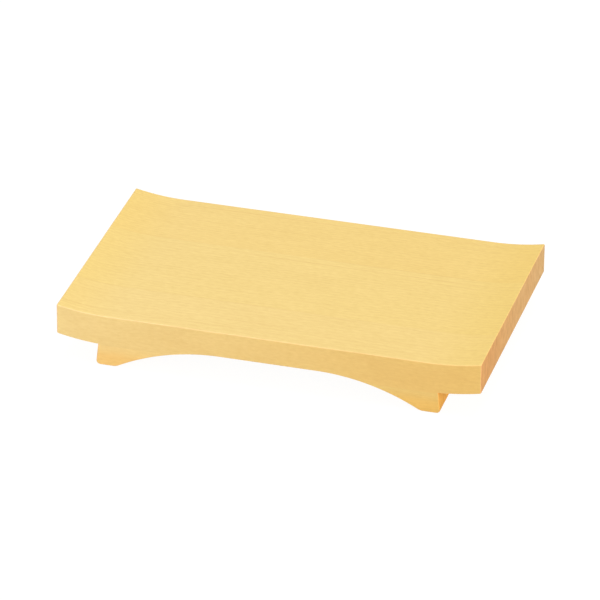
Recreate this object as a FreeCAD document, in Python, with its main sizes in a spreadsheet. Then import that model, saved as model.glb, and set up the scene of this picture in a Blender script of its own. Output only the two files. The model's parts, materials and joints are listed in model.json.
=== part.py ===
import FreeCAD, Part
import Sketcher
import os
from enum import IntEnum

# A wooden serving board in the form of a geta: a flat deck whose two ends sweep up, on two
# full-depth feet joined by one long shallow arch.
#
# The board is made as it is in a joinery shop.  Three staves are glued edge to edge, two foot
# blocks are set under them on blind dowels, and the glued-up blank is then sawn to one outline
# that runs on through deck and feet, and its edges get a fine thread chamfer.  So every shaped
# piece here is its own rough blank, kept where the finished outline lies, and bored where the
# dowels go.
#
# Millimetres.  +X runs along the board to the right, +Y across it to the back, +Z up.  The origin
# is on the floor, under the middle of the board.

# Each driving size: its name, its value and what it is.
SIZES = (
    ("deck_length", 270.0, "end face to end face"),
    ("rear_stave_width", 54.5, "back face to the rear glue line"),
    ("middle_stave_width", 70.5, "glue line to glue line"),
    ("front_stave_width", 40.0, "front glue line to the front face"),
    ("deck_thickness", 20.5, "glue plane of the feet to the flat serving face"),
    ("sweep_length", 33.0, "length of each end that curves up out of the flat"),
    ("tip_rise", 3.6, "how far the tips stand above the flat serving face"),
    ("ledge_length", 26.6, "overhang of each end past its foot"),
    ("ledge_shoulder", 0.25, "how far above the glue plane the ledge is cut beside the foot"),
    ("ledge_rise", 3.65, "how far the underside climbs from the foot to the tip"),
    ("ledge_radius", 168.0, "upward curve of the underside of each end"),
    ("foot_height", 13.85, "floor to the glue plane"),
    ("foot_splay", 1.5, "lean of each foot's outer face, out towards the floor"),
    ("sole_width", 13.0, "foot's footprint along X, before its corners are rounded"),
    ("heel_radius", 2.5, "outer lower corner of the foot"),
    ("sole_blend_radius", 8.0, "soft turn from the sole into the arch"),
    ("crown_length", 61.0, "straight middle of the arch"),
    ("arch_relief", 3.3, "depth that the arch is cut up into the deck"),
    ("arris_chamfer", 0.8, "thread chamfer planed along every outer edge"),
    ("blank_allowance", 6.0, "waste left round the blanks before they are cut to outline"),
    ("dowel_diameter", 8.0, "over the crests of the flutes"),
    ("dowel_length", 20.0, "end to end"),
    ("dowel_in_foot", 8.5, "length of dowel held in the foot, the rest is in the deck"),
    ("dowel_inset", 9.0, "dowel's centre in from the foot's outer face"),
    ("dowel_chamfer", 0.8, "taper of the dowel's ends"),
    ("flute_count", 12.0, "glue flutes round the dowel"),
    ("flute_depth", 0.45, "depth of each flute"),
    ("bore_clearance", 0.05, "glue gap round the dowel, on the radius"),
    ("bore_end_gap", 1.0, "glue pocket past each end of the dowel"),
)

# Where things lie, worked out from the driving sizes.
BOARD_DEPTH = "(sizes.rear_stave_width + sizes.middle_stave_width + sizes.front_stave_width)"
TOP_HEIGHT = "(sizes.foot_height + sizes.deck_thickness)"
TIP_HEIGHT = f"({TOP_HEIGHT} + sizes.tip_rise)"
ROOT_HEIGHT = "(sizes.foot_height + sizes.ledge_shoulder)"
CROWN_HEIGHT = "(sizes.foot_height + sizes.arch_relief)"
FOOT_OUTER = "(sizes.deck_length / 2 - sizes.ledge_length)"
BACK_FACE = f"({BOARD_DEPTH} / 2)"
REAR_SEAM = f"({BACK_FACE} - sizes.rear_stave_width)"
FRONT_SEAM = f"({REAR_SEAM} - sizes.middle_stave_width)"
FRONT_FACE = f"({FRONT_SEAM} - sizes.front_stave_width)"

# The staves from back to front: name, back edge and front edge.
STAVES = (
    ("rear", BACK_FACE, REAR_SEAM),
    ("middle", REAR_SEAM, FRONT_SEAM),
    ("front", FRONT_SEAM, FRONT_FACE),
)

# The feet: name and the side of the board that each is on.
FEET = (("left", -1), ("right", 1))


class Axis(IntEnum):
    """A sketch's own axes, as its constraints number them."""

    HORIZONTAL = -1
    VERTICAL = -2


class Point(IntEnum):
    """The points of a line, an arc or a circle, as a sketch's constraints number them."""

    START = 1
    END = 2
    CENTRE = 3


ORIGIN = (Axis.HORIZONTAL, Point.START)

# How the runs of the outline meet.  A sketch keeps an arc's ends in counter-clockwise order, so
# each joint names the end of both of its runs.
OUTLINE_JOINTS = (
    ("Tangent", "flat_top", Point.END, "sweep", Point.START),
    ("Coincident", "sweep", Point.END, "end_face", Point.START),
    ("Coincident", "end_face", Point.END, "ledge", Point.END),
    ("Coincident", "ledge", Point.START, "foot_face", Point.START),
    ("Coincident", "foot_face", Point.END, "sole", Point.START),
    ("Coincident", "sole", Point.END, "arch", Point.START),
    ("Tangent", "arch", Point.END, "crown", Point.START),
    ("Coincident", "crown", Point.END, "centre", Point.START),
    ("Coincident", "centre", Point.END, "flat_top", Point.START),
)

# The dimensions of the outline: name, direction, the run and end that each is measured from, the
# run and end that it is measured to, and its size.
OUTLINE_DIMENSIONS = (
    ("sweep_length", "DistanceX", "flat_top", Point.END, "end_face", Point.START, "sizes.sweep_length"),
    ("tip_rise", "DistanceY", "flat_top", Point.END, "end_face", Point.START, "sizes.tip_rise"),
    ("ledge_length", "DistanceX", "foot_face", Point.START, "end_face", Point.END, "sizes.ledge_length"),
    ("ledge_rise", "DistanceY", "foot_face", Point.START, "end_face", Point.END, "sizes.ledge_rise"),
    ("root_height", "DistanceY", "foot_face", Point.END, "foot_face", Point.START, ROOT_HEIGHT),
    ("foot_splay", "DistanceX", "foot_face", Point.START, "foot_face", Point.END, "sizes.foot_splay"),
    ("sole_width", "DistanceX", "sole", Point.END, "sole", Point.START, "sizes.sole_width"),
    ("crown_height", "DistanceY", "sole", Point.START, "crown", Point.START, CROWN_HEIGHT),
    ("half_crown", "DistanceX", "crown", Point.END, "crown", Point.START, "sizes.crown_length / 2"),
)

TOUCH = 1e-4


def add_sizes(doc):
    """Put the driving sizes in the sheet, one named cell each."""
    sheet = doc.addObject("Spreadsheet::Sheet", "sizes")
    for row, (alias, value, meaning) in enumerate(SIZES, start=1):
        sheet.set(f"A{row}", alias)
        sheet.set(f"B{row}", str(value))
        sheet.set(f"C{row}", meaning)
        sheet.setAlias(f"B{row}", alias)
    doc.recompute()
    return sheet


def bind(item, **expressions):
    """Tie an object's properties to the sheet."""
    for name, expression in expressions.items():
        item.setExpression(name, expression)


def place(item, x, y, z):
    """Tie an object's position to the sheet."""
    item.setExpression(".Placement.Base.x", x)
    item.setExpression(".Placement.Base.y", y)
    item.setExpression(".Placement.Base.z", z)


def origin_feature(body, role):
    """Return one of a body's own origin planes or axes."""
    return next(item for item in body.Origin.OriginFeatures if item.Role == role)


def add_sketch(body, name, plane):
    """Add a sketch on one of the body's own origin planes."""
    sketch = body.newObject("Sketcher::SketchObject", name)
    sketch.AttachmentSupport = [(origin_feature(body, plane), "")]
    sketch.MapMode = "FlatFace"
    return sketch


def name_constraint(sketch, constraint, name, expression):
    """Add a sketch dimension and tie it to the sheet."""
    index = sketch.addConstraint(constraint)
    sketch.renameConstraint(index, name)
    sketch.setExpression(f"Constraints.{name}", expression)


def dimension(sketch, name, direction, first, second, expression):
    """Add a sketch dimension between two points, each a run and an end, and tie it to the sheet."""
    apart = sketch.getPoint(*second) - sketch.getPoint(*first)
    drawn = apart.x if direction == "DistanceX" else apart.y
    constraint = Sketcher.Constraint(direction, *first, *second, drawn)
    name_constraint(sketch, constraint, name, expression)


def bowed_arc(start, end, radius):
    """Return the arc from start to end that bows out to the right of its chord."""
    chord = end - start
    half = chord.Length / 2
    left = FreeCAD.Vector(-chord.y, chord.x, 0).normalize()
    sag = radius - (radius ** 2 - half ** 2) ** 0.5
    return Part.Arc(start, start + chord * 0.5 - left * sag, end)


def tangent_radius(reach, rise):
    """Return the radius of an arc that leaves a line smoothly and climbs off it over a reach."""
    return (reach ** 2 + rise ** 2) / (2 * rise)


def outline_runs(sheet):
    """Return the lines and arcs of the outline's right half, seen from the front, by name."""
    vector = FreeCAD.Vector
    half = sheet.deck_length / 2
    top = sheet.foot_height + sheet.deck_thickness
    root = sheet.foot_height + sheet.ledge_shoulder
    crown = sheet.foot_height + sheet.arch_relief

    top_middle = vector(0, top, 0)
    sweep_start = vector(half - sheet.sweep_length, top, 0)
    tip_top = vector(half, top + sheet.tip_rise, 0)
    tip_bottom = vector(half, root + sheet.ledge_rise, 0)
    foot_root = vector(half - sheet.ledge_length, root, 0)
    heel = vector(foot_root.x + sheet.foot_splay, 0, 0)
    sole_end = vector(heel.x - sheet.sole_width, 0, 0)
    crown_end = vector(sheet.crown_length / 2, crown, 0)
    crown_middle = vector(0, crown, 0)

    line = Part.LineSegment
    sweep_radius = tangent_radius(sheet.sweep_length, sheet.tip_rise)
    arch_radius = tangent_radius(sole_end.x - crown_end.x, crown)
    return {
        "flat_top": line(top_middle, sweep_start),
        "sweep": bowed_arc(sweep_start, tip_top, sweep_radius),
        "end_face": line(tip_top, tip_bottom),
        "ledge": bowed_arc(foot_root, tip_bottom, sheet.ledge_radius),
        "foot_face": line(foot_root, heel),
        "sole": line(heel, sole_end),
        "arch": bowed_arc(sole_end, crown_end, arch_radius),
        "crown": line(crown_end, crown_middle),
        "centre": line(crown_middle, top_middle),
    }


def add_outline_sketch(body, sheet):
    """Draw the right half of the board's outline and tie all of it to the sheet."""
    sketch = add_sketch(body, "outline", "XZ_Plane")
    run = {
        name: sketch.addGeometry(shape, False)
        for name, shape in outline_runs(sheet).items()
    }
    constraint = Sketcher.Constraint
    for kind, first, first_end, second, second_end in OUTLINE_JOINTS:
        sketch.addConstraint(constraint(kind, run[first], first_end, run[second], second_end))
    for name in ("flat_top", "sole", "crown"):
        sketch.addConstraint(constraint("Horizontal", run[name]))
    for name in ("end_face", "centre"):
        sketch.addConstraint(constraint("Vertical", run[name]))
    sketch.addConstraint(constraint("PointOnObject", run["flat_top"], Point.START, Axis.VERTICAL))
    sketch.addConstraint(constraint("PointOnObject", run["sole"], Point.START, Axis.HORIZONTAL))

    dimension(
        sketch, "half_length", "DistanceX", ORIGIN, (run["end_face"], Point.START),
        "sizes.deck_length / 2")
    dimension(
        sketch, "top_height", "DistanceY", ORIGIN, (run["flat_top"], Point.START), TOP_HEIGHT)
    for name, direction, first, first_end, second, second_end, expression in OUTLINE_DIMENSIONS:
        dimension(
            sketch, name, direction, (run[first], first_end), (run[second], second_end),
            expression)
    name_constraint(
        sketch, constraint("Radius", run["ledge"], sheet.ledge_radius), "ledge_radius",
        "sizes.ledge_radius")
    return sketch


def edges_where(shape, test):
    """Name the edges of a shape that pass a test of their bounding box."""
    return [
        f"Edge{number}"
        for number, edge in enumerate(shape.Edges, start=1)
        if test(edge.BoundBox)
    ]


def add_outline_body(doc, sheet):
    """Build the finished board's outer form, deck and feet in one outline."""
    body = doc.addObject("PartDesign::Body", "finished_outline")
    sketch = add_outline_sketch(body, sheet)
    doc.recompute()

    half_board = body.newObject("PartDesign::Pad", "half_board")
    half_board.Profile = sketch
    half_board.SideType = "Symmetric"
    bind(half_board, Length=BOARD_DEPTH)

    whole_board = body.newObject("PartDesign::Mirrored", "whole_board")
    whole_board.Originals = [half_board]
    whole_board.MirrorPlane = (origin_feature(body, "YZ_Plane"), [""])
    whole_board.Refine = True
    body.Tip = whole_board
    doc.recompute()

    half = sheet.deck_length / 2
    heel = half - sheet.ledge_length + sheet.foot_splay
    sole_end = heel - sheet.sole_width

    def runs_along_y(box):
        return box.YLength > TOUCH and box.XLength < TOUCH and box.ZLength < TOUCH

    def at_distance(box, distance):
        return abs(abs(box.Center.x) - distance) < TOUCH

    def on_floor_at(distance):
        return lambda box: (
            runs_along_y(box) and box.ZMax < TOUCH and at_distance(box, distance))

    heel_rounds = body.newObject("PartDesign::Fillet", "heel_rounds")
    heel_rounds.Base = (whole_board, edges_where(whole_board.Shape, on_floor_at(heel)))
    bind(heel_rounds, Radius="sizes.heel_radius")
    body.Tip = heel_rounds
    doc.recompute()

    sole_blends = body.newObject("PartDesign::Fillet", "sole_blends")
    sole_blends.Base = (heel_rounds, edges_where(heel_rounds.Shape, on_floor_at(sole_end)))
    bind(sole_blends, Radius="sizes.sole_blend_radius")
    body.Tip = sole_blends
    doc.recompute()

    def outer_arris(box):
        on_front_or_back = box.YLength < TOUCH
        on_end_face = runs_along_y(box) and at_distance(box, half)
        return on_front_or_back or on_end_face

    arrises = body.newObject("PartDesign::Chamfer", "arrises")
    arrises.Base = (sole_blends, edges_where(sole_blends.Shape, outer_arris))
    bind(arrises, Size="sizes.arris_chamfer")
    body.Tip = arrises
    doc.recompute()
    return body


def add_blank(doc, name, low, high):
    """Add a rough block between two corners, each given as three expressions."""
    blank = doc.addObject("Part::Box", name)
    length, width, height = (f"({far}) - ({near})" for near, far in zip(low, high))
    bind(blank, Length=length, Width=width, Height=height)
    place(blank, *low)
    return blank


def dowel_axis(stave_back, stave_front, side):
    """Return the place of a dowel's axis: over the foot, midway across the stave."""
    along_board = f"{side} * ({FOOT_OUTER} - sizes.dowel_inset)"
    across_board = f"({stave_back} + {stave_front}) / 2"
    return along_board, across_board


def add_bore(doc, name, axis):
    """Add the drill's path for one dowel, down into the foot and up into the deck."""
    bore = doc.addObject("Part::Cylinder", name)
    bind(
        bore,
        Radius="sizes.dowel_diameter / 2 + sizes.bore_clearance",
        Height="sizes.dowel_length + 2 * sizes.bore_end_gap",
    )
    place(bore, *axis, "sizes.foot_height - sizes.dowel_in_foot - sizes.bore_end_gap")
    return bore


def add_shaped_piece(doc, label, blank, outline, bores):
    """Cut a blank to the finished outline and bore it for its dowels."""
    shaped = doc.addObject("Part::Common", f"{label}_cut_to_outline")
    shaped.Base = blank
    shaped.Tool = outline
    drill = doc.addObject("Part::Compound", f"{label}_bores")
    drill.Links = bores
    piece = doc.addObject("Part::Cut", label)
    piece.Base = shaped
    piece.Tool = drill
    piece.Label = label
    return piece


def add_stave(doc, name, back, front, outline, bores):
    """Build one stave of the deck, its grain running the length of the board."""
    waste = "sizes.blank_allowance"
    back_face = f"{back} + {waste}" if back == BACK_FACE else back
    front_face = f"{front} - {waste}" if front == FRONT_FACE else front
    low = (f"-sizes.deck_length / 2 - {waste}", front_face, "sizes.foot_height")
    high = (f"sizes.deck_length / 2 + {waste}", back_face, f"{TIP_HEIGHT} + {waste}")
    blank = add_blank(doc, f"{name}_stave_blank", low, high)
    return add_shaped_piece(doc, f"deck_{name}_stave", blank, outline, bores)


def add_foot(doc, name, side, outline, bores):
    """Build one foot, the part of the outline below the glue plane on its side."""
    waste = "sizes.blank_allowance"
    outside = f"sizes.deck_length / 2 + {waste}"
    near, far = (f"-({outside})", "0") if side < 0 else ("0", outside)
    low = (near, f"{FRONT_FACE} - {waste}", f"-{waste}")
    high = (far, f"{BACK_FACE} + {waste}", "sizes.foot_height")
    blank = add_blank(doc, f"{name}_foot_blank", low, high)
    return add_shaped_piece(doc, f"{name}_foot", blank, outline, bores)


def add_rod(doc, body, label, radius):
    """Give a dowel's body its plain round rod with tapered ends, and return the last feature."""
    axis, up = FreeCAD.Vector(0, 0, 0), FreeCAD.Vector(0, 0, 1)
    constraint = Sketcher.Constraint
    section = add_sketch(body, f"{label}_section", "XY_Plane")
    ring = section.addGeometry(Part.Circle(axis, up, radius), False)
    section.addConstraint(constraint("Coincident", ring, Point.CENTRE, *ORIGIN))
    name_constraint(
        section, constraint("Diameter", ring, 2 * radius), "diameter", "sizes.dowel_diameter")
    rod = body.newObject("PartDesign::Pad", f"{label}_rod")
    rod.Profile = section
    bind(rod, Length="sizes.dowel_length")
    doc.recompute()

    ends = body.newObject("PartDesign::Chamfer", f"{label}_ends")
    ends.Base = (rod, edges_where(rod.Shape, lambda box: box.ZLength < TOUCH))
    bind(ends, Size="sizes.dowel_chamfer")
    body.Tip = ends
    doc.recompute()
    return ends


def add_flute_sketch(body, label, radius, depth):
    """Draw a flute's section: a V that is as wide on each side of its root as it reaches out."""
    root = FreeCAD.Vector(radius - depth, 0, 0)
    left_lip = FreeCAD.Vector(radius + depth, 2 * depth, 0)
    right_lip = FreeCAD.Vector(radius + depth, -2 * depth, 0)
    constraint = Sketcher.Constraint
    notch = add_sketch(body, f"{label}_flute_section", "XY_Plane")
    lower = notch.addGeometry(Part.LineSegment(root, right_lip), False)
    outer = notch.addGeometry(Part.LineSegment(right_lip, left_lip), False)
    upper = notch.addGeometry(Part.LineSegment(left_lip, root), False)
    for first, second in ((lower, outer), (outer, upper), (upper, lower)):
        notch.addConstraint(constraint("Coincident", first, Point.END, second, Point.START))
    notch.addConstraint(constraint("PointOnObject", lower, Point.START, Axis.HORIZONTAL))
    notch.addConstraint(constraint("Symmetric", outer, Point.START, outer, Point.END, Axis.HORIZONTAL))
    dimension(
        notch, "root_radius", "DistanceX", ORIGIN, (lower, Point.START),
        "sizes.dowel_diameter / 2 - sizes.flute_depth")
    dimension(
        notch, "reach", "DistanceX", (lower, Point.START), (outer, Point.START), "2 * sizes.flute_depth")
    dimension(
        notch, "opening", "DistanceY", (outer, Point.START), (outer, Point.END), "4 * sizes.flute_depth")
    return notch


def add_dowel(doc, sheet, label, axis):
    """Build one fluted dowel, standing in its bore."""
    radius = sheet.dowel_diameter / 2
    body = doc.addObject("PartDesign::Body", label)
    body.Label = label
    ends = add_rod(doc, body, label, radius)

    flute = body.newObject("PartDesign::Pocket", f"{label}_flute")
    flute.Profile = add_flute_sketch(body, label, radius, sheet.flute_depth)
    flute.Type = "ThroughAll"
    flute.Reversed = True
    body.Tip = flute
    doc.recompute()

    flutes = body.newObject("PartDesign::PolarPattern", f"{label}_flutes")
    flutes.Originals = [flute]
    flutes.Axis = (origin_feature(body, "Z_Axis"), [""])
    flutes.Angle = 360
    bind(flutes, Occurrences="sizes.flute_count")
    body.Tip = flutes
    place(body, *axis, "sizes.foot_height - sizes.dowel_in_foot")
    doc.recompute()
    if not flutes.Shape.Volume < flute.Shape.Volume < ends.Shape.Volume:
        raise RuntimeError(f"{label}: the flutes cut nothing")
    return body


def check(doc, pieces):
    """Stop if an object failed, or a piece isn't one valid solid."""
    for item in doc.Objects:
        if "Invalid" in item.State or "Error" in item.State:
            raise RuntimeError(f"{item.Label} failed: {item.State}")
    for piece in pieces:
        shape = piece.Shape
        if shape.isNull() or not shape.isValid() or len(shape.Solids) != 1:
            raise RuntimeError(f"{piece.Label} is not one valid solid")


def build():
    """Build the board and return its pieces."""
    doc = FreeCAD.newDocument("serving_board")
    sheet = add_sizes(doc)
    outline = add_outline_body(doc, sheet)

    stave_bores = {name: [] for name, _, _ in STAVES}
    foot_bores = {name: [] for name, _ in FEET}
    pieces = []
    for foot, side in FEET:
        for stave, back, front in STAVES:
            axis = dowel_axis(back, front, side)
            bore = add_bore(doc, f"{foot}_{stave}_bore", axis)
            stave_bores[stave].append(bore)
            foot_bores[foot].append(bore)
            pieces.append(add_dowel(doc, sheet, f"{foot}_foot_{stave}_dowel", axis))
    for stave, back, front in STAVES:
        pieces.append(add_stave(doc, stave, back, front, outline, stave_bores[stave]))
    for foot, side in FEET:
        pieces.append(add_foot(doc, foot, side, outline, foot_bores[foot]))
    doc.recompute()
    check(doc, pieces)
    return pieces


os.makedirs("parts", exist_ok=True)
for piece in build():
    piece.Shape.exportStep(f"parts/{piece.Label}.step")
    size = piece.Shape.BoundBox
    print(
        f"{piece.Label}: {piece.Shape.Volume / 1000:.2f} cm3,"
        f" {size.XLength:.2f} x {size.YLength:.2f} x {size.ZLength:.2f} mm")
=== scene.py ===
"""A wooden serving board in the form of a geta, dressed and lit for its portrait.

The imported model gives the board's place, its length, its depth, its glue lines and its heights.
The visible wood is made from one whole blank: a strip as wide as the board is deep is carried
round the board's outline and closed, the arrises are eased, and the blank is then parted into the
three staves of the deck and the two feet, each bored for the dowels that stay inside.  Every piece
has wood of its own, cut from growth rings that run through the solid, so that its faces, its swept
ends and its end grain agree.

Lengths are metres, except in the wood's shader, which counts in millimetres.
"""

import json
import logging
import math
from collections.abc import Callable, Iterable, Iterator, Sequence
from contextlib import contextmanager
from dataclasses import dataclass, replace
from enum import Enum

import bmesh
import bpy
from mathutils import Matrix, Vector


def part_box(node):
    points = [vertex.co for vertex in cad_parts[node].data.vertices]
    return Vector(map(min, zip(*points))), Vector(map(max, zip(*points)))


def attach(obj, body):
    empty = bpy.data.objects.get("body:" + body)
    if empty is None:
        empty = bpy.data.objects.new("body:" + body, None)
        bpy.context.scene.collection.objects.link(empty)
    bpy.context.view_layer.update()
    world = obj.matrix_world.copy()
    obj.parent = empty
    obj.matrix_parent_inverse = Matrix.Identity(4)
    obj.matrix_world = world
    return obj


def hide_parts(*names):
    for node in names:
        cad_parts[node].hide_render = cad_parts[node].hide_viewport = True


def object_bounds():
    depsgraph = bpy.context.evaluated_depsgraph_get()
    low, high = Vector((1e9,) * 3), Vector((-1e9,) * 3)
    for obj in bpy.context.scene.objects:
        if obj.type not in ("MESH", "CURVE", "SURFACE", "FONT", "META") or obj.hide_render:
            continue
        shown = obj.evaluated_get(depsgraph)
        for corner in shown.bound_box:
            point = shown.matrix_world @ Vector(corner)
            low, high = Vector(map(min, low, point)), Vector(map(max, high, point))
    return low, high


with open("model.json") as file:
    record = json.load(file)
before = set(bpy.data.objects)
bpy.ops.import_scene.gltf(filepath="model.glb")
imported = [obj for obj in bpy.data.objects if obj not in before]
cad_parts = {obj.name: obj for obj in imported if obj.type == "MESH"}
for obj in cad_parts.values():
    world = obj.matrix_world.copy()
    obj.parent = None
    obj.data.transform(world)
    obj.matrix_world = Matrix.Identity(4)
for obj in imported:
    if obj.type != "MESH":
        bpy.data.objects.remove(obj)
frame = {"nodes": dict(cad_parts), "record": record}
CAD_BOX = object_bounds()

LOG = logging.getLogger("serving_board")
MILLIMETRES = 1000.0
HALF_LENGTH = (CAD_BOX[1].x - CAD_BOX[0].x) * MILLIMETRES / 2
HALF_DEPTH = (CAD_BOX[1].y - CAD_BOX[0].y) * MILLIMETRES / 2

TOUCH = 5e-6  # Points nearer than this, in metres, are one.
SAW_TOLERANCE = 1e-7
ROUND_ANGLE = 35.0  # Faces that meet at less than this, in degrees, are parts of one round.
LARGE_FACE_WEIGHT = 100

Triple = tuple[float, float, float]
Tone = Triple
Colour = tuple[float, float, float, float]
Test = Callable[[Vector, Vector], bool]


class Part(Enum):
    """The CAD nodes that the visible pieces stand for."""

    REAR_STAVE = "deck_rear_stave"
    MIDDLE_STAVE = "deck_middle_stave"
    FRONT_STAVE = "deck_front_stave"
    LEFT_FOOT = "left_foot"
    RIGHT_FOOT = "right_foot"


class Slot(Enum):
    """The record's material slots that those pieces take their finish from."""

    DECK = "deck_wood"
    FOOT = "foot_wood"


def srgb(red: int, green: int, blue: int) -> Colour:
    """Gives a colour, written from 0 to 255 as it looks on a screen, as the shader needs it.

    Args:
        red: The red share.
        green: The green share.
        blue: The blue share.

    Returns:
        The linear colour, opaque.
    """
    shares = [share / 255 for share in (red, green, blue)]
    linear = [s / 12.92 if s <= 0.04045 else ((s + 0.055) / 1.055) ** 2.4 for s in shares]
    return (linear[0], linear[1], linear[2], 1.0)


def dowel_names() -> list[str]:
    """The CAD nodes that are dowels, in order."""
    return sorted(name for name in frame["nodes"] if name.endswith("_dowel"))


# --- Modelling ---


def take(piece: bpy.types.Object) -> None:
    """Makes a piece the only one that is selected, and the active one.

    Args:
        piece: The piece.
    """
    bpy.ops.object.select_all(action="DESELECT")
    piece.select_set(True)
    bpy.context.view_layer.objects.active = piece


@contextmanager
def editing(piece: bpy.types.Object) -> Iterator[None]:
    """Opens a piece in edit mode with nothing selected, and closes it again.

    Args:
        piece: The piece to open.

    Yields:
        Nothing; the operators inside act on the open piece.
    """
    take(piece)
    bpy.ops.object.mode_set(mode="EDIT")
    bpy.ops.mesh.select_mode(type="EDGE")
    bpy.ops.mesh.select_all(action="DESELECT")
    yield
    bpy.ops.object.mode_set(mode="OBJECT")


def select_edges(piece: bpy.types.Object, test: Test) -> int:
    """Selects those edges of the open piece whose two ends pass a test, and no others.

    Args:
        piece: The piece that is open in edit mode.
        test: Takes the two ends of an edge.

    Returns:
        How many edges are selected.
    """
    bpy.ops.mesh.select_all(action="DESELECT")
    mesh = bmesh.from_edit_mesh(piece.data)
    chosen = [edge for edge in mesh.edges if test(edge.verts[0].co, edge.verts[1].co)]
    for edge in chosen:
        edge.select_set(True)
    bmesh.update_edit_mesh(piece.data)
    return len(chosen)


def apply_modifier(piece: bpy.types.Object, kind: str, **settings: object) -> None:
    """Adds a modifier to a piece, sets it up and applies it.

    Args:
        piece: The piece to change.
        kind: The modifier's type.
        **settings: Its properties.
    """
    take(piece)
    modifier = piece.modifiers.new(kind.lower(), kind)
    for name, value in settings.items():
        setattr(modifier, name, value)
    bpy.ops.object.modifier_apply(modifier=modifier.name)


def copy_of(piece: bpy.types.Object, name: str) -> bpy.types.Object:
    """Copies a piece with a mesh of its own.

    Args:
        piece: The piece to copy.
        name: The copy's name.

    Returns:
        The copy.
    """
    take(piece)
    bpy.ops.object.duplicate()
    copy = bpy.context.active_object
    copy.name = name
    copy.data.name = name
    return copy


def keep_side(piece: bpy.types.Object, place: Vector, direction: Vector) -> None:
    """Saws a piece along a plane, keeps the side that the direction points to and closes the cut.

    Args:
        piece: The piece to saw.
        place: A point on the plane.
        direction: The plane's normal, towards the side that is kept.
    """
    with editing(piece):
        bpy.ops.mesh.select_all(action="SELECT")
        bpy.ops.mesh.bisect(
            plane_co=place, plane_no=direction, use_fill=True, clear_inner=True,
            threshold=SAW_TOLERANCE)


def smooth(piece: bpy.types.Object) -> None:
    """Shades a piece's round runs and eased arrises smooth, and keeps its flat faces flat.

    Args:
        piece: The piece.
    """
    take(piece)
    bpy.ops.object.shade_smooth_by_angle(angle=math.radians(ROUND_ANGLE))
    apply_modifier(piece, "WEIGHTED_NORMAL", keep_sharp=True, weight=LARGE_FACE_WEIGHT)


@dataclass(frozen=True)
class Run:
    """One stretch of an outline, from where the last one ended.

    Attributes:
        end: Where it ends, as X and Z.
        centre: The point that it turns about, or None where it is straight.
    """

    end: Vector
    centre: Vector | None = None


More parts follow.
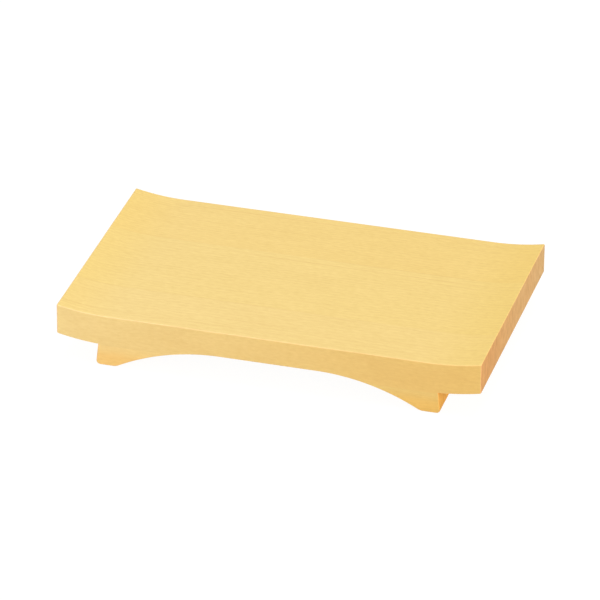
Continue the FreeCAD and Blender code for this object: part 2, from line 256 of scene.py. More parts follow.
@dataclass(frozen=True)
class BoardForm:
    """The finished board's outline, as it is seen from the front, and the dowels' bores.

    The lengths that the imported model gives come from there; the rest are the form's own sizes.

    Attributes:
        tip_rise: How far an end sweeps up above the flat serving face.
        sweep_length: How far in from the end face the sweep starts.
        ledge_length: How far the deck reaches out past the foot's root.
        ledge_shoulder: How far that root lies above the plane of the glue.
        ledge_rise: How far the overhang's underside rises from the root to the end face.
        ledge_radius: The radius of that underside.
        foot_splay: How far the foot's outer face leans out on its way down.
        sole_width: From the heel to where the arch would meet the floor.
        heel_radius: The rounding between the foot's outer face and its sole.
        sole_blend_radius: The rounding between the sole and the arch.
        crown_length: The length of the arch's level crown.
        arch_relief: How far the crown is cut up into the deck.
        arris: How far the arrises are eased.
        arris_facets: How many facets an eased arris has.
        arris_fullness: How full its round is; 0.5 is a quarter of a circle.
        facet: The longest facet along a round run.
        least_facets: The fewest facets of a round run.
        bore_clearance: The gap for the glue round a dowel.
        bore_end_gap: The pocket past each end of a dowel.
        bore_facets: How many sides a bore has.
    """

    tip_rise: float = 0.0036
    sweep_length: float = 0.033
    ledge_length: float = 0.0266
    ledge_shoulder: float = 0.00025
    ledge_rise: float = 0.00365
    ledge_radius: float = 0.168
    foot_splay: float = 0.0015
    sole_width: float = 0.013
    heel_radius: float = 0.0025
    sole_blend_radius: float = 0.008
    crown_length: float = 0.061
    arch_relief: float = 0.0033
    arris: float = 0.0008
    arris_facets: int = 4
    arris_fullness: float = 0.42
    facet: float = 0.0012
    least_facets: int = 8
    bore_clearance: float = 0.00005
    bore_end_gap: float = 0.001
    bore_facets: int = 64

    @property
    def half_length(self) -> float:
        """From the middle of the board to an end face."""
        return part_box(Part.MIDDLE_STAVE.value)[1].x

    @property
    def half_depth(self) -> float:
        """From the middle of the board to its front or back face."""
        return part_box(Part.REAR_STAVE.value)[1].y

    @property
    def flat_height(self) -> float:
        """The height of the flat serving face."""
        mounts = {mount["name"]: mount for mount in frame["record"]["mounts"]}
        return mounts["serving_face"]["pos_m"][2]

    @property
    def glue_height(self) -> float:
        """The height at which the feet are glued to the deck."""
        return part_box(Part.RIGHT_FOOT.value)[1].z

    @property
    def flat_end(self) -> Vector:
        """Where the flat serving face ends and the right end's sweep starts, as X and Z."""
        return Vector((self.half_length - self.sweep_length, self.flat_height))

    @property
    def foot_root(self) -> Vector:
        """The corner where the overhang's underside meets the foot's outer face, as X and Z."""
        return Vector((
            self.half_length - self.ledge_length, self.glue_height + self.ledge_shoulder))

    def _end_runs(self) -> list[Run]:
        """Works out the sweep, the end face and the underside of the overhang.

        Returns:
            The right end's runs, from the flat serving face to the foot's root.
        """
        sweep_radius = (self.sweep_length ** 2 + self.tip_rise ** 2) / (2 * self.tip_rise)
        root = self.foot_root
        tip_bottom = Vector((self.half_length, root.y + self.ledge_rise))
        chord = tip_bottom - root
        up = Vector((-chord.y, chord.x)).normalized()
        height = math.sqrt(self.ledge_radius ** 2 - (chord.length / 2) ** 2)
        return [
            Run(Vector((self.half_length, self.flat_height + self.tip_rise)),
                self.flat_end + Vector((0, sweep_radius))),
            Run(tip_bottom),
            Run(root, (root + tip_bottom) / 2 + up * height),
        ]

    def _foot_runs(self) -> list[Run]:
        """Works out the foot's outer face, its rounded heel, its sole and the arch.

        Returns:
            The right foot's runs, from its root to the middle of the arch's crown.
        """
        root = self.foot_root
        face = math.hypot(self.foot_splay, root.y)
        heel = root.x + self.foot_splay
        up_the_face = self.heel_radius * (face + self.foot_splay) / root.y
        heel_start = Vector((
            heel - up_the_face * self.foot_splay / face, up_the_face * root.y / face))
        heel_centre = Vector((
            heel_start.x - self.heel_radius * root.y / face, self.heel_radius))

        crown = self.glue_height + self.arch_relief
        crown_end = self.crown_length / 2
        reach = heel - self.sole_width - crown_end
        arch_radius = (reach ** 2 + crown ** 2) / (2 * crown)
        arch_centre = Vector((crown_end, crown - arch_radius))
        apart = arch_radius + self.sole_blend_radius
        rise = self.sole_blend_radius - arch_centre.y
        blend_centre = Vector((
            crown_end + math.sqrt(apart ** 2 - rise ** 2), self.sole_blend_radius))
        blend_end = arch_centre.lerp(blend_centre, arch_radius / apart)
        return [
            Run(heel_start),
            Run(Vector((heel_centre.x, 0)), heel_centre),
            Run(Vector((blend_centre.x, 0))),
            Run(blend_end, blend_centre),
            Run(Vector((crown_end, crown)), arch_centre),
            Run(Vector((0, crown))),
        ]

    def _draw(self, blank: bpy.types.Object, start: Vector, run: Run) -> None:
        """Carries the blank's open edge along one stretch of the outline.

        Args:
            blank: The shell so far, open in edit mode.
            start: Where the stretch starts, as X and Z.
            run: The stretch.
        """
        def at_start(first: Vector, second: Vector) -> bool:
            """Whether an edge lies across the board at the start."""
            return all(abs(v.x - start.x) < TOUCH and abs(v.z - start.y) < TOUCH
                       for v in (first, second))

        if select_edges(blank, at_start) != 1:
            raise RuntimeError(f"the outline's open edge isn't at {tuple(start)}")
        if run.centre is None:
            step = run.end - start
            bpy.ops.mesh.extrude_region_move(
                TRANSFORM_OT_translate={"value": (step.x, 0, step.y)})
            return
        arm, last = start - run.centre, run.end - run.centre
        angle = math.atan2(arm.x, arm.y) - math.atan2(last.x, last.y)
        angle = (angle + math.pi) % (2 * math.pi) - math.pi
        steps = max(self.least_facets, math.ceil(abs(angle) * arm.length / self.facet))
        bpy.ops.mesh.spin(
            steps=steps, angle=angle, center=(run.centre.x, 0, run.centre.y), axis=(0, 1, 0))

    def _is_arris(self, first: Vector, second: Vector) -> bool:
        """Says whether an edge of the blank is one that the joiner eases.

        Args:
            first: One end of the edge.
            second: The other end.

        Returns:
            True for the edges of the front, the back and the two end faces.
        """
        ends = (first, second)
        on_one_face = abs(first.y - second.y) < TOUCH
        on_end = all(abs(abs(v.x) - self.half_length) < TOUCH for v in ends)
        return on_one_face or (on_end and abs(first.z - second.z) < TOUCH)

    def build_blank(self) -> bpy.types.Object:
        """Models the whole board, deck and feet in one, with its arrises eased.

        Returns:
            The blank that the pieces are parted from.
        """
        flat = self.flat_end
        bpy.ops.object.select_all(action="DESELECT")
        bpy.ops.mesh.primitive_plane_add(size=1, location=(flat.x / 2, 0, flat.y))
        blank = bpy.context.active_object
        blank.name = "board_blank"
        blank.scale = (flat.x, 2 * self.half_depth, 1)
        bpy.ops.object.transform_apply(location=True, rotation=True, scale=True)

        with editing(blank):
            start = flat
            for run in self._end_runs() + self._foot_runs():
                self._draw(blank, start, run)
                start = run.end
        apply_modifier(blank, "MIRROR", use_axis=(True, False, False), merge_threshold=TOUCH)

        with editing(blank):
            for side in (-1, 1):
                select_edges(blank, lambda a, b: all(
                    abs(v.y - side * self.half_depth) < TOUCH for v in (a, b)))
                bpy.ops.mesh.edge_face_add()
            bpy.ops.mesh.select_all(action="SELECT")
            bpy.ops.mesh.normals_make_consistent(inside=False)
            select_edges(blank, self._is_arris)
            bpy.ops.mesh.bevel(
                offset_type="OFFSET", offset=self.arris, segments=self.arris_facets,
                profile=self.arris_fullness, affect="EDGES", clamp_overlap=False)
        return blank

    def bore(self, piece: bpy.types.Object) -> None:
        """Drills a piece for each dowel that stands in it.

        Args:
            piece: A stave or a foot.
        """
        low, high = (Vector(corner) for corner in (piece.bound_box[0], piece.bound_box[6]))
        for name in dowel_names():
            bottom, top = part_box(name)
            middle = (bottom + top) / 2
            if not all(low[i] < middle[i] < high[i] for i in (0, 1)):
                continue
            bpy.ops.object.select_all(action="DESELECT")
            bpy.ops.mesh.primitive_cylinder_add(
                vertices=self.bore_facets,
                radius=(top.x - bottom.x) / 2 + self.bore_clearance,
                depth=top.z - bottom.z + 2 * self.bore_end_gap,
                location=middle)
            drill = bpy.context.active_object
            apply_modifier(piece, "BOOLEAN", operation="DIFFERENCE", solver="EXACT", object=drill)
            bpy.data.objects.remove(drill)


# --- Shader maths ---


@dataclass(frozen=True)
class Grain:
    """One kind of unevenness in the wood.

    Attributes:
        cell: How long one patch of it is along X, Y and Z, in millimetres.
        detail: How many finer layers it has.
        weight: What it is multiplied by where it is used.
        span: The two of its values between which it fades in, where it masks a line.
    """

    cell: Triple
    detail: float
    weight: float = 1.0
    span: tuple[float, float] = (0.0, 1.0)


NOISE_ROUGHNESS = 0.55
FAINTEST = 0.35  # How much of a ring or a line still shows where it comes and goes.


class Signal:
    """One output of a shader node, which is added, multiplied and so on as a number is."""

    def __init__(self, bench: "Bench", socket: bpy.types.NodeSocket | None) -> None:
        """Wraps an output socket of a material's nodes."""
        self.bench = bench
        self.socket = socket

    def _math(self, operation: str, *values: object) -> "Signal":
        """Adds a Math node on some values."""
        return self.bench.node("Math", {"operation": operation}, dict(enumerate(values)))

    def __add__(self, other: object) -> "Signal":
        """Adds."""
        return self._math("ADD", self, other)

    __radd__ = __add__

    def __sub__(self, other: object) -> "Signal":
        """Takes another value from this one."""
        return self._math("SUBTRACT", self, other)

    def __rsub__(self, other: object) -> "Signal":
        """Takes this value from another."""
        return self._math("SUBTRACT", other, self)

    def __mul__(self, other: object) -> "Signal":
        """Multiplies."""
        return self._math("MULTIPLY", self, other)

    __rmul__ = __mul__

    def __truediv__(self, other: object) -> "Signal":
        """Divides this value by another."""
        return self._math("DIVIDE", self, other)

    def __pow__(self, other: object) -> "Signal":
        """Raises this value to a power."""
        return self._math("POWER", self, other)

    def __abs__(self) -> "Signal":
        """Drops the sign."""
        return self._math("ABSOLUTE", self)

    def fraction(self) -> "Signal":
        """Keeps what follows the point."""
        return self._math("FRACT", self)

    def axis(self, name: str) -> "Signal":
        """Takes the X, Y or Z of this vector."""
        return self.bench.node("SeparateXYZ", {}, {0: self}, name)

    def vector(self, operation: str, other: object) -> "Signal":
        """Adds a Vector Math node on this vector and another."""
        return self.bench.node("VectorMath", {"operation": operation}, {0: self, 1: other})

    def length(self) -> "Signal":
        """Measures this vector."""
        return self.bench.node("VectorMath", {"operation": "LENGTH"}, {0: self}, "Value")

    def tint(self, shares: Iterable[object]) -> "Signal":
        """Multiplies this colour's red, green and blue, each by a value of its own."""
        tone = self.bench.node("CombineXYZ", {}, dict(enumerate(shares)))
        return self.vector("MULTIPLY", tone)

    def swing(self, weight: float) -> "Signal":
        """Turns a value about 0.5, as a noise is, into one about 0, and weights it."""
        return (self - 0.5) * weight

    def fade(self, start: float, end: float) -> "Signal":
        """Rises smoothly from 0 to 1 between two values; it falls where the first is the larger.

        Args:
            start: Where the result is 0.
            end: Where the result is 1.

        Returns:
            The faded value.
        """
        low, high = min(start, end), max(start, end)
        first, last = (0.0, 1.0) if start < end else (1.0, 0.0)
        return self.bench.node(
            "MapRange", {"interpolation_type": "SMOOTHSTEP"},
            {"Value": self, "From Min": low, "From Max": high, "To Min": first, "To Max": last})

    def noise(self, grain: Grain) -> "Signal":
        """Adds a noise about 0.5 at this point, drawn out along the axes.

        Args:
            grain: The size of its patches, in the point's measure, and its detail.

        Returns:
            The noise, without its weight.
        """
        return self.bench.node("TexNoise", {"noise_dimensions": "3D"}, {
            "Vector": self.vector("DIVIDE", grain.cell),
            "Scale": 1.0,
            "Detail": grain.detail,
            "Roughness": NOISE_ROUGHNESS,
        })

    def waning(self, grain: Grain) -> "Signal":
        """How much of a line shows at this point, from the faintest to all of it."""
        return FAINTEST + self.noise(grain).fade(*grain.span) * (1.0 - FAINTEST)


class Bench:
    """Where one material's nodes are put together."""

    def __init__(self, tree: bpy.types.NodeTree) -> None:
        """Clears a node tree to build in."""
        self.tree = tree
        tree.nodes.clear()

    def node(
        self,
        kind: str,
        settings: dict[str, object] | None = None,
        sockets: dict[str | int, object] | None = None,
        output: str | int = 0,
    ) -> Signal:
        """Adds a node, sets its properties, and then fills or links its sockets.

        Args:
            kind: The node's type, without the ShaderNode that it starts with.
            settings: Its properties; stops are a colour ramp's places and levels.
            sockets: The values or signals of its inputs, by name or number.
            output: The output that is wanted.

        Returns:
            The output, as a signal.
        """
        made = self.tree.nodes.new(f"ShaderNode{kind}")
        for name, value in (settings or {}).items():
            if name == "stops":
                self._set_stops(made.color_ramp, value)
            else:
                setattr(made, name, value)
        for name, value in (sockets or {}).items():
            if isinstance(value, Signal):
                self.tree.links.new(value.socket, made.inputs[name])
            else:
                made.inputs[name].default_value = value
        return Signal(self, made.outputs[output] if len(made.outputs) else None)

    @staticmethod
    def _set_stops(ramp: bpy.types.ColorRamp, stops: Sequence[tuple[float, float]]) -> None:
        """Gives a ramp grey stops.

        Args:
            ramp: The ramp.
            stops: The place and the level of each stop, in order.
        """
        ramp.interpolation = "B_SPLINE"
        while len(ramp.elements) < len(stops):
            ramp.elements.new(1.0)
        for element, (place, level) in zip(ramp.elements, stops):
            element.position = place
            element.color = (level, level, level, 1.0)

    def mix(self, share: Signal | float, first: object, second: object) -> Signal:
        """Mixes two colours.

        Args:
            share: How much of the second colour.
            first: The colour at 0.
            second: The colour at 1.

        Returns:
            The mixed colour.
        """
        return self.node(
            "Mix", {"data_type": "RGBA"}, {"Factor": share, 6: first, 7: second}, output=2)

    def facing(self, axis: str) -> Signal:
        """How squarely the surface faces along an axis, either way, from 0 to 1."""
        return abs(self.node("TexCoord", {}, {}, "Normal").axis(axis))

    def turned(self, axis: str) -> Signal:
        """Is 1 where the surface looks halfway between an axis and square to it, 0 at either."""
        squared = self.facing(axis) ** 2
        return squared * (1.0 - squared) * 4.0


# --- Wood ---


FIBRES = Grain((11.0, 0.3, 0.3), 3.0, 0.17)
FLECKS = Grain((4.0, 1.5, 1.5), 2.0, 0.21)
STREAKS = Grain((60.0, 3.0, 3.0), 2.0, 0.05)
CLOUDS = Grain((42.0, 19.0, 19.0), 1.0, 0.06)
MOTTLE = Grain((6.0, 3.0, 7.0), 2.0, 0.7)
PORES = Grain((1.2, 0.35, 0.35), 2.0, 0.25)
SWAY = Grain((130.0, 30.0, 30.0), 1.0, 9.0)
RIPPLE = Grain((26.0, 5.0, 5.0), 2.0, 0.9)
SEASONS = Grain((220.0, 6.0, 6.0), 1.0, span=(0.32, 0.68))
BREAKS = Grain((38.0, 50.0, 50.0), 2.0, span=(0.3, 0.6))

# The place in one year's growth and how dark the wood is there; the next line gives its mean.
RING_PROFILE = ((0.0, 0.0), (0.45, 0.06), (0.74, 0.4), (0.88, 1.0), (0.97, 0.5), (1.0, 0.0))
RING_MEAN = 0.3
LINE_CORE = 0.3  # The share of a line's width that is as dark as its middle.

# How squarely a face has to look along Y to count as a side, and along the grain as end grain.
SIDE_FACING = (0.5, 0.9)
END_FACING = (0.3, 0.85)

DARKENING = (0.7, 1.0, 1.6)  # The powers to which a shade is raised in red, green and blue.


@dataclass(frozen=True)
class Hairline:
    """A fine dark line in the wood, along the grain.

    Attributes:
        place: Where it lies across the grain, in millimetres on the board.
        half_width: Half of its width, in millimetres.
        depth: How dark it is at its middle, from 0 to 1.
        reach: Where it starts to show and shows in full along the board, in millimetres, or None
            where it runs from end to end.
        rising: Whether its place is a height, and not a distance towards the back.
    """

    place: float
    half_width: float
    depth: float
    reach: tuple[float, float] | None = None
    rising: bool = False


@dataclass(frozen=True)
class Planing:
    """The relief and the gloss that plane, sandpaper and coat leave, and a painted highlight on the
    arrises.

    Attributes:
        fibre_height: The fibres' share of the relief.
        ring_height: The dark ring lines' share of it.
        wave_height: The share of the plane's long low waves.
        relief: The height of the relief, in metres.
        relief_strength: How much of it shows.
        roughness: How rough a face along the grain is.
        fibre_roughness: How much the fibres vary that.
        ring_polish: How much smoother the dense ring lines are.
        end_roughness: How much rougher the end grain is.
        specular: How much the bare wood shines.
        refraction: Its index of refraction.
        coat_roughness: How rough the clear coat is.
        arris_painted_highlight: How much paler an arris is at its middle.
        arris_blue: The power to which that is raised in blue.
        arris_start: Where the arrises of an end face start, in millimetres in from it.
        arris_full: Where they show in full.
    """

    fibre_height: float = 0.5
    ring_height: float = 0.35
    wave_height: float = 6.0
    relief: float = 0.00006
    relief_strength: float = 0.35
    roughness: float = 0.55
    fibre_roughness: float = 0.14
    ring_polish: float = 0.05
    end_roughness: float = 0.12
    specular: float = 0.3
    refraction: float = 1.45
    coat_roughness: float = 0.42
    # A painted highlight along the arrises.
    # arris_painted_highlight: How much a painted highlight pales an arris at its middle.
    arris_painted_highlight: float = 0.12
    arris_blue: float = 2.5
    arris_start: float = 1.4
    arris_full: float = 0.7


@dataclass(frozen=True)
class WoodFinish:
    """Planed pale softwood with growth rings that run through the solid, under a thin clear coat.

    Attributes:
        name: The material's name.
        earlywood: The pale spring wood between the ring lines.
        latewood: The darker line that closes each ring.
        end_grain: The colour across the grain.
        heart: Where the tree's heart lay, as Y and Z on the board, in millimetres.
        ring_width: One year's growth, in millimetres.
        shift: How far the wood's unevenness is slid for this piece, in millimetres.
        lines: Glue lines and single dark rings.
        painted_shade_drift: Painted shade: how red, green and blue grow from the wood's middle to
            its right end.
        tip_tone: What red, green and blue are multiplied by where the ends sweep up.
        tip_length: How far in from an end that tone starts, in millimetres.
        side_painted_shade: Painted shade: what they are multiplied by on its front and back faces.
        side_painted_shade_drift: More painted shade: how they grow there to the right, on top of
            the first drift.
        heel_tone: What they are multiplied by near the floor.
        heel_heights: The heights between which that tone comes in, in millimetres.
        end_drift: How the end grain's red, green and blue grow from its middle to the back.
        ring_contrast: How much the ring lines show on the serving face and the underside.
        side_contrast: How much they show on the front and back faces.
        end_contrast: How much darker they are across the grain.
        upright: Whether the grain stands up, and not along the board.
        coat: How much of the clear satin coat stays on its faces; the end grain drinks it.
        planing: Its relief, its gloss and its painted arris highlight.
    """

    name: str
    earlywood: Colour
    latewood: Colour
    end_grain: Colour
    heart: tuple[float, float]
    ring_width: float
    shift: Triple = (0.0, 0.0, 0.0)
    lines: tuple[Hairline, ...] = ()
    painted_shade_drift: Tone = (0.0, 0.0, 0.0)
    tip_tone: Tone = (1.0, 0.985, 0.87)
    tip_length: float = 44.0
    side_painted_shade: Tone = (1.0, 1.0, 1.0)
    side_painted_shade_drift: Tone = (0.0, 0.0, 0.0)
    heel_tone: Tone = (1.0, 1.0, 1.0)
    heel_heights: tuple[float, float] = (13.5, 5.0)
    end_drift: Tone = (0.0, 0.12, 0.27)
    ring_contrast: float = 0.2
    side_contrast: float = 0.12
    end_contrast: float = 0.2
    upright: bool = False
    coat: float = 0.12
    planing: Planing = Planing()

    def material(self) -> bpy.types.Material:
        """Builds the finish.

        Returns:
            The material.
        """
        material = bpy.data.materials.new(self.name)
        material.use_nodes = True
        bench = Bench(material.node_tree)
        place = bench.node("Mapping", {}, {
            "Vector": bench.node("TexCoord", {}, {}, "Object"),
            "Rotation": (0.0, math.radians(90) if self.upright else 0.0, 0.0),
            "Scale": (MILLIMETRES,) * 3,
        })
        slid = place.vector("ADD", self.shift)
        rings = self._rings(place, slid)
        fibres, flecks, streaks, clouds = (
            slid.noise(grain) for grain in (FIBRES, FLECKS, STREAKS, CLOUDS))
        across = bench.facing("Z" if self.upright else "X").fade(*END_FACING)
        side = bench.facing("Y").fade(*SIDE_FACING)

        contrast = self.ring_contrast + side * (self.side_contrast - self.ring_contrast)
        colour = bench.mix(rings * contrast, self.earlywood, self.latewood)
        shade = (1.0 + fibres.swing(FIBRES.weight) + flecks.swing(FLECKS.weight)
                 + streaks.swing(STREAKS.weight) + clouds.swing(CLOUDS.weight))
        colour = colour.tint(shade ** power for power in DARKENING)
        # Painted shade: warmer and darker to the right and on the front and back faces; tones at
        # the tips and by the floor.
        colour = self._tones_and_painted_shade(place, side, colour)
        colour = bench.mix(across, colour, self._end_colour(place, slid, rings))
        for line in self.lines:
            colour = bench.mix(self._line(place, slid, line), colour, self.latewood)
        # Painted highlight along the eased arrises.
        colour = self._painted_arris_highlight(place, colour)

        planing = self.planing
        height = (fibres * planing.fibre_height + rings * planing.ring_height
                  + clouds * planing.wave_height)
        bump = bench.node("Bump", {}, {
            "Strength": planing.relief_strength, "Distance": planing.relief, "Height": height})
        roughness = (planing.roughness + fibres.swing(planing.fibre_roughness)
                     - rings * planing.ring_polish + across * planing.end_roughness)
        surface = bench.node("BsdfPrincipled", {}, {
            "Base Color": colour,
            "Roughness": roughness,
            "Normal": bump,
            "Specular IOR Level": planing.specular,
            "IOR": planing.refraction,
            "Coat Weight": (1.0 - across) * self.coat if self.coat else 0.0,
            "Coat Roughness": planing.coat_roughness,
        })
        bench.node("OutputMaterial", {}, {"Surface": surface})
        return material

    def _rings(self, place: Signal, slid: Signal) -> Signal:
        """Draws the growth rings about the tree's heart.

        Args:
            place: The point on the board.
            slid: The point in this piece's own unevenness.

        Returns:
            The darkness of the wood: 0 in the earlywood, 1 at each ring line.
        """
        from_heart = place.vector("SUBTRACT", (0.0, *self.heart))
        radius = from_heart.vector("MULTIPLY", (0.0, 1.0, 1.0)).length()
        sway = slid.noise(SWAY) * SWAY.weight
        ripple = slid.noise(RIPPLE) * RIPPLE.weight
        years = (radius + sway + ripple) / self.ring_width
        line = place.bench.node("ValToRGB", {"stops": RING_PROFILE}, {0: years.fraction()})
        return line * slid.waning(SEASONS)

    def _tones_and_painted_shade(self, place: Signal, side: Signal, colour: Signal) -> Signal:
        """Turns the wood warmer to the right, more on its sides, at its tips and by the floor.

        The drift to the right and the darker, warmer front and back faces are painted shade.

        Args:
            place: The point on the board.
            side: How far the surface is a front or back face.
            colour: The wood's colour.

        Returns:
            The warmer colour, with its painted shade.
        """
        along = place.axis("X")
        share = along / HALF_LENGTH
        low = place.axis("Z").fade(*self.heel_heights)
        tip = abs(along).fade(HALF_LENGTH - self.tip_length, HALF_LENGTH) * (1.0 - side)
        return colour.tint(
            1.0 + share * self.painted_shade_drift[channel]
            + side * (share * self.side_painted_shade_drift[channel] + self.side_painted_shade[channel] - 1.0)
            + low * (self.heel_tone[channel] - 1.0)
            + tip * (self.tip_tone[channel] - 1.0)
            for channel in range(3))

    def _painted_arris_highlight(self, place: Signal, colour: Signal) -> Signal:
        """Paints a highlight on the eased arrises by paling them.

        Args:
            place: The point on the board.
            colour: The wood's colour.

        Returns:
            The colour with paler arrises, a painted highlight.
        """
        near_end = abs(place.axis("X")).fade(
            HALF_LENGTH - self.planing.arris_start, HALF_LENGTH - self.planing.arris_full)
        turned = place.bench.turned("Y") + place.bench.turned("X") * near_end
        # Painted highlight: the arrises are paled, blue the most.
        pale = 1.0 + turned * self.planing.arris_painted_highlight
        return colour.tint((pale, pale, pale ** self.planing.arris_blue))

    def _end_colour(self, place: Signal, slid: Signal, rings: Signal) -> Signal:
        """Colours the sawn end grain, with ring lines, pores and mottling, greyer to the back.

        Args:
            place: The point on the board.
            slid: The point in this piece's own unevenness.
            rings: The darkness of the growth rings.

        Returns:
            The colour.
        """
        share = place.axis("Y") / HALF_DEPTH
        shade = (1.0 + (RING_MEAN - rings) * self.end_contrast
                 + slid.noise(MOTTLE).swing(MOTTLE.weight)
                 + slid.noise(PORES).swing(PORES.weight))
        return place.bench.node("CombineXYZ", {}, {
            channel: (1.0 + share * self.end_drift[channel]) * self.end_grain[channel]
            * shade ** DARKENING[channel]
            for channel in range(3)})

    def _line(self, place: Signal, slid: Signal, line: Hairline) -> Signal:
        """Draws one fine dark line, which comes and goes along its length.

        Args:
            place: The point on the board.
            slid: The point in this piece's own unevenness.
            line: The line.

        Returns:
            How much of the line's colour shows.
        """
        offset = abs(place.axis("Z" if line.rising else "Y") - line.place)
        near = offset.fade(line.half_width, line.half_width * LINE_CORE)
        share = near * slid.waning(BREAKS) * line.depth
        if line.reach is None:
            return share
        return share * place.axis("X").fade(*line.reach)


# --- The board ---


RING_HALF_WIDTH = 0.8


def dark_ring(place: float, depth: float, *reach: float) -> Hairline:
    """One dark ring that stands out from the rest of its plank."""
    return Hairline(place, RING_HALF_WIDTH, depth, reach or None)


DECK_LATE = srgb(222, 178, 100)
REAR_PLANK = WoodFinish(
    "rear_plank", srgb(249, 218, 135), DECK_LATE, srgb(217, 166, 101),
    heart=(-176.0, 33.0), ring_width=2.6, shift=(40.0, 0.0, 11.0),
    lines=(dark_ring(75.4, 0.18), dark_ring(57.0, 0.09, 40.0, 0.0),
           dark_ring(67.5, 0.14, 20.0, 60.0)))
MIDDLE_PLANK = WoodFinish(
    "middle_plank", srgb(249, 220, 139), DECK_LATE, srgb(216, 167, 103),
    heart=(-190.0, -40.0), ring_width=3.0, shift=(-75.0, 23.0, 5.0),
    lines=(dark_ring(21.6, 0.27, -60.0, -20.0), dark_ring(17.0, 0.16, 20.0, 60.0),
           dark_ring(4.2, 0.05)))
FRONT_PLANK = WoodFinish(
    "front_plank", srgb(249, 220, 142), DECK_LATE, srgb(215, 165, 102),
    heart=(150.0, 24.0), ring_width=3.4, shift=(12.0, -57.0, 31.0),
    lines=(dark_ring(-73.8, 0.15), dark_ring(-64.0, 0.14, -50.0, -20.0)))
# The foot's end grain is painted brighter and more orange than the deck's, as painted bounce light
# under the overhang; its drift to the right and its darker front and back faces are painted shade.
RIGHT_FOOT_PLANK = WoodFinish(
    "right_foot_plank", FRONT_PLANK.earlywood, srgb(224, 174, 88), srgb(234, 177, 82),
    heart=(150.0, 11.0), ring_width=1.6, shift=(51.0, 17.0, 7.0),
    painted_shade_drift=(0.0, -0.01, -0.05), side_painted_shade=(0.98, 0.935, 0.89),
    side_painted_shade_drift=(-0.02, -0.035, -0.1), heel_tone=(1.04, 0.96, 0.84), end_drift=(0.0, 0.02, 0.08))
LEFT_FOOT_PLANK = replace(
    RIGHT_FOOT_PLANK, name="left_foot_plank", heart=(150.0, 5.0), shift=(-51.0, 17.0, -7.0))
DOWEL_ROD = WoodFinish(
    "dowel_rod", srgb(226, 190, 146), srgb(198, 152, 106), srgb(190, 146, 102),
    heart=(60.0, -40.0), ring_width=1.2, upright=True, coat=0.0)


def finish_piece(piece: bpy.types.Object, part: Part, finish: WoodFinish) -> None:
    """Dresses a shaped piece and sets it in the frame.

    Args:
        piece: The piece.
        part: The CAD node that it stands for.
        finish: Its wood.
    """
    smooth(piece)
    piece.data.materials.clear()
    piece.data.materials.append(finish.material())
    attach(piece, "root")
    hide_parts(part.value)
    LOG.info("%s: %d faces, %s", piece.name, len(piece.data.polygons), finish.name)


@dataclass(frozen=True)
class Deck:
    """The three staves, glued edge to edge, each sawn from a plank of its own.

    Attributes:
        form: The board's outline and its bores.
        planks: The wood of each stave.
        glue_half_width: Half of a glue line's width, in millimetres.
        glue_depth: How dark a glue line is.
        painted_shade_drift: Painted shade: how red, green and blue grow from the wood's middle to
            its right end.
        side_painted_shade: Painted shade: what they are multiplied by on the front and back faces.
        side_painted_shade_drift: More painted shade: how they grow there to the right, on top of
            the first drift.
    """

    form: BoardForm
    planks: tuple[tuple[Part, WoodFinish], ...] = (
        (Part.REAR_STAVE, REAR_PLANK),
        (Part.MIDDLE_STAVE, MIDDLE_PLANK),
        (Part.FRONT_STAVE, FRONT_PLANK),
    )
    glue_half_width: float = 0.22
    glue_depth: float = 0.34
    # Painted shade on the deck: warmer and darker to the right, and darker and warmer on the front
    # and back faces.
    painted_shade_drift: Tone = (0.0, -0.01, -0.06)
    side_painted_shade: Tone = (0.97, 0.915, 0.872)
    side_painted_shade_drift: Tone = (0.0, -0.05, -0.13)

    def _glued(self, part: Part, plank: WoodFinish) -> WoodFinish:
        """Gives a plank's wood the stave's glue lines and the deck's painted shade.

        Args:
            part: The stave.
            plank: Its wood.

        Returns:
            The stave's wood.
        """
        seams = tuple(
            Hairline(corner.y * MILLIMETRES, self.glue_half_width, self.glue_depth)
            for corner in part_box(part.value) if abs(corner.y) < self.form.half_depth - TOUCH)
        return replace(
            plank, lines=seams + plank.lines, painted_shade_drift=self.painted_shade_drift,
            side_painted_shade=self.side_painted_shade, side_painted_shade_drift=self.side_painted_shade_drift)

    def build(self, blank: bpy.types.Object) -> None:
        """Parts the staves from the blank, bores them and dresses them.

        Args:
            blank: The whole board.
        """
        glue_plane = Vector((0, 0, self.form.glue_height))
        for part, plank in self.planks:
            low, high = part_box(part.value)
            stave = copy_of(blank, part.value.removeprefix("deck_"))
            keep_side(stave, glue_plane, Vector((0, 0, 1)))
            if low.y > -self.form.half_depth + TOUCH:
                keep_side(stave, low, Vector((0, 1, 0)))
            if high.y < self.form.half_depth - TOUCH:
                keep_side(stave, high, Vector((0, -1, 0)))
            self.form.bore(stave)
            finish_piece(stave, part, self._glued(part, plank))


@dataclass(frozen=True)
class Feet:
    """The two foot blocks under the deck.

    Attributes:
        form: The board's outline and its bores.
        planks: Each foot, the side of the board that it is on, and its wood.
        glue_half_width: Half of the width that the glue line shows, in millimetres.
        glue_depth: How dark that line is.
    """

    form: BoardForm
    planks: tuple[tuple[Part, int, WoodFinish], ...] = (
        (Part.LEFT_FOOT, -1, LEFT_FOOT_PLANK),
        (Part.RIGHT_FOOT, 1, RIGHT_FOOT_PLANK),
    )
    glue_half_width: float = 0.14
    glue_depth: float = 0.1

    def build(self, blank: bpy.types.Object) -> None:
        """Parts the feet from the blank, bores them and dresses them.

        Args:
            blank: The whole board.
        """
        glue_plane = Vector((0, 0, self.form.glue_height))
        seam = Hairline(
            glue_plane.z * MILLIMETRES, self.glue_half_width, self.glue_depth, rising=True)
        for part, side, plank in self.planks:
            foot = copy_of(blank, f"{part.value}_block")
            keep_side(foot, glue_plane, Vector((0, 0, -1)))
            keep_side(foot, Vector((0, 0, 0)), Vector((side, 0, 0)))
            self.form.bore(foot)
            finish_piece(foot, part, replace(plank, lines=(seam,)))


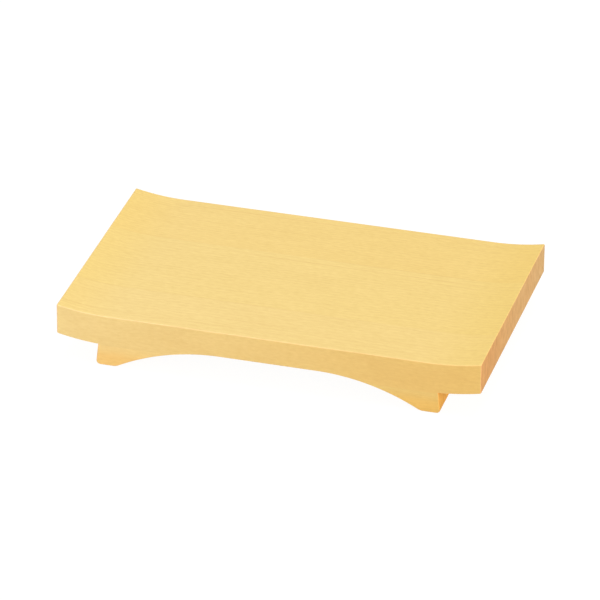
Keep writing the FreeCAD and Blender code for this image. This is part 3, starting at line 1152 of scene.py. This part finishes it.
@dataclass(frozen=True)
class Dowels:
    """The six fluted dowels that hold the feet, inside their bores.

    Attributes:
        finish: Their wood.
    """

    finish: WoodFinish = DOWEL_ROD

    def dress(self) -> None:
        """Gives each dowel its wood."""
        material = self.finish.material()
        for name in dowel_names():
            for slot in frame["nodes"][name].material_slots:
                slot.material = material
            LOG.info("%s: %s", name, material.name)


# --- The studio ---


@dataclass(frozen=True)
class Softbox:
    """A square lamp that points at the board.

    Attributes:
        name: What it is called.
        place: Where it hangs.
        width: Its side.
        power: Its power, in watts.
        tint: Its colour.
    """

    name: str
    place: Triple
    width: float
    power: float
    tint: Tone = (1.0, 1.0, 1.0)

    def hang(self, target: Vector) -> None:
        """Hangs the lamp and points it.

        Args:
            target: The point that it faces.
        """
        bpy.ops.object.light_add(type="AREA", location=self.place)
        lamp = bpy.context.active_object
        lamp.name = self.name
        lamp.data.shape = "SQUARE"
        lamp.data.size = self.width
        lamp.data.energy = self.power
        lamp.data.color = self.tint
        lamp.visible_camera = False
        lamp.rotation_mode = "QUATERNION"
        lamp.rotation_quaternion = (target - Vector(self.place)).to_track_quat("-Z", "Y")


@dataclass(frozen=True)
class Studio:
    """A white room with soft light, as for a catalogue.

    Attributes:
        room_light: How bright the room is.
        room_tint: The colour of its light.
        white: The background, as the camera sees it.
        floor_colour: The floor's own colour, on which the shadow falls.
        floor_width: The floor's side.
        floor_gap: How far the floor lies below the soles.
        shadow_lift: How much of the floor is glow in the picture, which lightens the shadow.
        glow: How bright that glow is.
        lamps: The lamps.
    """

    room_light: float = 0.43
    room_tint: Colour = (1.0, 0.95, 0.90, 1.0)
    white: Colour = (1.0, 1.0, 1.0, 1.0)
    floor_colour: Colour = (0.86, 0.86, 0.86, 1.0)
    floor_width: float = 9.0
    floor_gap: float = 0.0002
    shadow_lift: float = 0.885
    glow: float = 1.08
    lamps: tuple[Softbox, ...] = (
        Softbox("overhead_softbox", (0.0, 0.3, 2.6), 1.6, 31.0),
        Softbox("left_card", (-0.62, -0.62, 0.22), 0.4, 1.9, (1.0, 0.95, 1.0)),
        Softbox("right_softbox", (2.2, -0.9, 0.45), 1.2, 25.0, (1.0, 0.93, 0.82)),
    )

    @staticmethod
    def _seen_as_background(bench: Bench) -> Signal:
        """Tells the rays that show the background from those that light the board.

        Args:
            bench: Where the nodes go.

        Returns:
            1 for a ray from the camera and one that a gloss or a clear piece sends on, else 0.
        """
        rays = [
            bench.node("LightPath", {}, {}, f"Is {kind} Ray")
            for kind in ("Camera", "Glossy", "Transmission")]
        return bench.node(
            "Math", {"operation": "ADD", "use_clamp": True}, {0: rays[0] + rays[1], 1: rays[2]})

    def _floor_material(self) -> bpy.types.Material:
        """Builds a white floor that keeps a faint shadow.

        Returns:
            The material.
        """
        material = bpy.data.materials.new("floor_white")
        material.use_nodes = True
        bench = Bench(material.node_tree)
        matt = bench.node("BsdfDiffuse", {}, {"Color": self.floor_colour})
        glow = bench.node("Emission", {}, {"Color": self.white, "Strength": self.glow})
        lift = self._seen_as_background(bench) * self.shadow_lift
        surface = bench.node("MixShader", {}, {0: lift, 1: matt, 2: glow})
        bench.node("OutputMaterial", {}, {"Surface": surface})
        return material

    def build(self) -> None:
        """Sets up the room's light, the floor and the lamps."""
        world = bpy.data.worlds.new("white_room")
        world.use_nodes = True
        bpy.context.scene.world = world
        bench = Bench(world.node_tree)
        light = bench.node("Background", {}, {"Color": self.room_tint, "Strength": self.room_light})
        white = bench.node("Background", {}, {"Color": self.white, "Strength": 1.0})
        seen = bench.node("MixShader", {}, {0: self._seen_as_background(bench), 1: light, 2: white})
        bench.node("OutputWorld", {}, {"Surface": seen})

        bpy.ops.object.select_all(action="DESELECT")
        bpy.ops.mesh.primitive_plane_add(size=self.floor_width, location=(0, 0, -self.floor_gap))
        floor = bpy.context.active_object
        floor.name = "floor"
        floor.data.materials.append(self._floor_material())
        for lamp in self.lamps:
            lamp.hang(Vector((0, 0, 0)))
            LOG.info("%s: %.1f W", lamp.name, lamp.power)


@dataclass(frozen=True)
class PortraitCamera:
    """The portrait's camera: far off, with a long lens, above the board's front right corner.

    Attributes:
        azimuth: How far it stands round to the right of the front, in degrees.
        elevation: How far it looks down, in degrees.
        roll: How far it is tipped, in degrees.
        distance: From the point that it aims at.
        lens: Its focal length, in millimetres.
        sensor: Its sensor's width, in millimetres.
        clip: The nearest and the farthest that it sees.
        aim_height: The height of the point that it aims at, on the board's middle line.
        aim_offset: How far the aim is then slid right and up in the picture.
    """

    azimuth: float = 15.469
    elevation: float = 28.293
    roll: float = 0.557
    distance: float = 3.260
    lens: float = 313.1
    sensor: float = 36.0
    clip: tuple[float, float] = (0.05, 50.0)
    aim_height: float = 0.020
    aim_offset: tuple[float, float] = (-0.002087, -0.000648)

    def build(self) -> None:
        """Sets up the scene's camera."""
        azimuth, elevation, roll = (
            math.radians(angle) for angle in (self.azimuth, self.elevation, self.roll))
        back = Vector((
            math.sin(azimuth) * math.cos(elevation),
            -math.cos(azimuth) * math.cos(elevation),
            math.sin(elevation)))
        level = Vector((math.cos(azimuth), math.sin(azimuth), 0))
        upright = back.cross(level)
        right = level * math.cos(roll) + upright * math.sin(roll)
        up = upright * math.cos(roll) - level * math.sin(roll)
        aim = right * self.aim_offset[0] + up * self.aim_offset[1]
        place = aim + Vector((0, 0, self.aim_height)) + back * self.distance

        bpy.ops.object.camera_add()
        camera = bpy.context.active_object
        camera.name = "portrait_camera"
        camera.data.lens = self.lens
        camera.data.sensor_width = self.sensor
        camera.data.clip_start, camera.data.clip_end = self.clip
        turn = Matrix((right, up, back)).transposed()
        camera.matrix_world = Matrix.Translation(place) @ turn.to_4x4()
        bpy.context.scene.camera = camera
        LOG.info("camera: %.0f mm lens at %.2f m", self.lens, self.distance)


def main() -> None:
    """Builds the board, the studio and the camera."""
    logging.basicConfig(level=logging.INFO, format="%(name)s: %(message)s")
    bpy.context.scene.view_settings.view_transform = "Standard"
    form = BoardForm()
    blank = form.build_blank()
    Deck(form).build(blank)
    Feet(form).build(blank)
    bpy.data.objects.remove(blank)
    Dowels().dress()
    Studio().build()
    PortraitCamera().build()


if __name__ == "__main__":
    main()
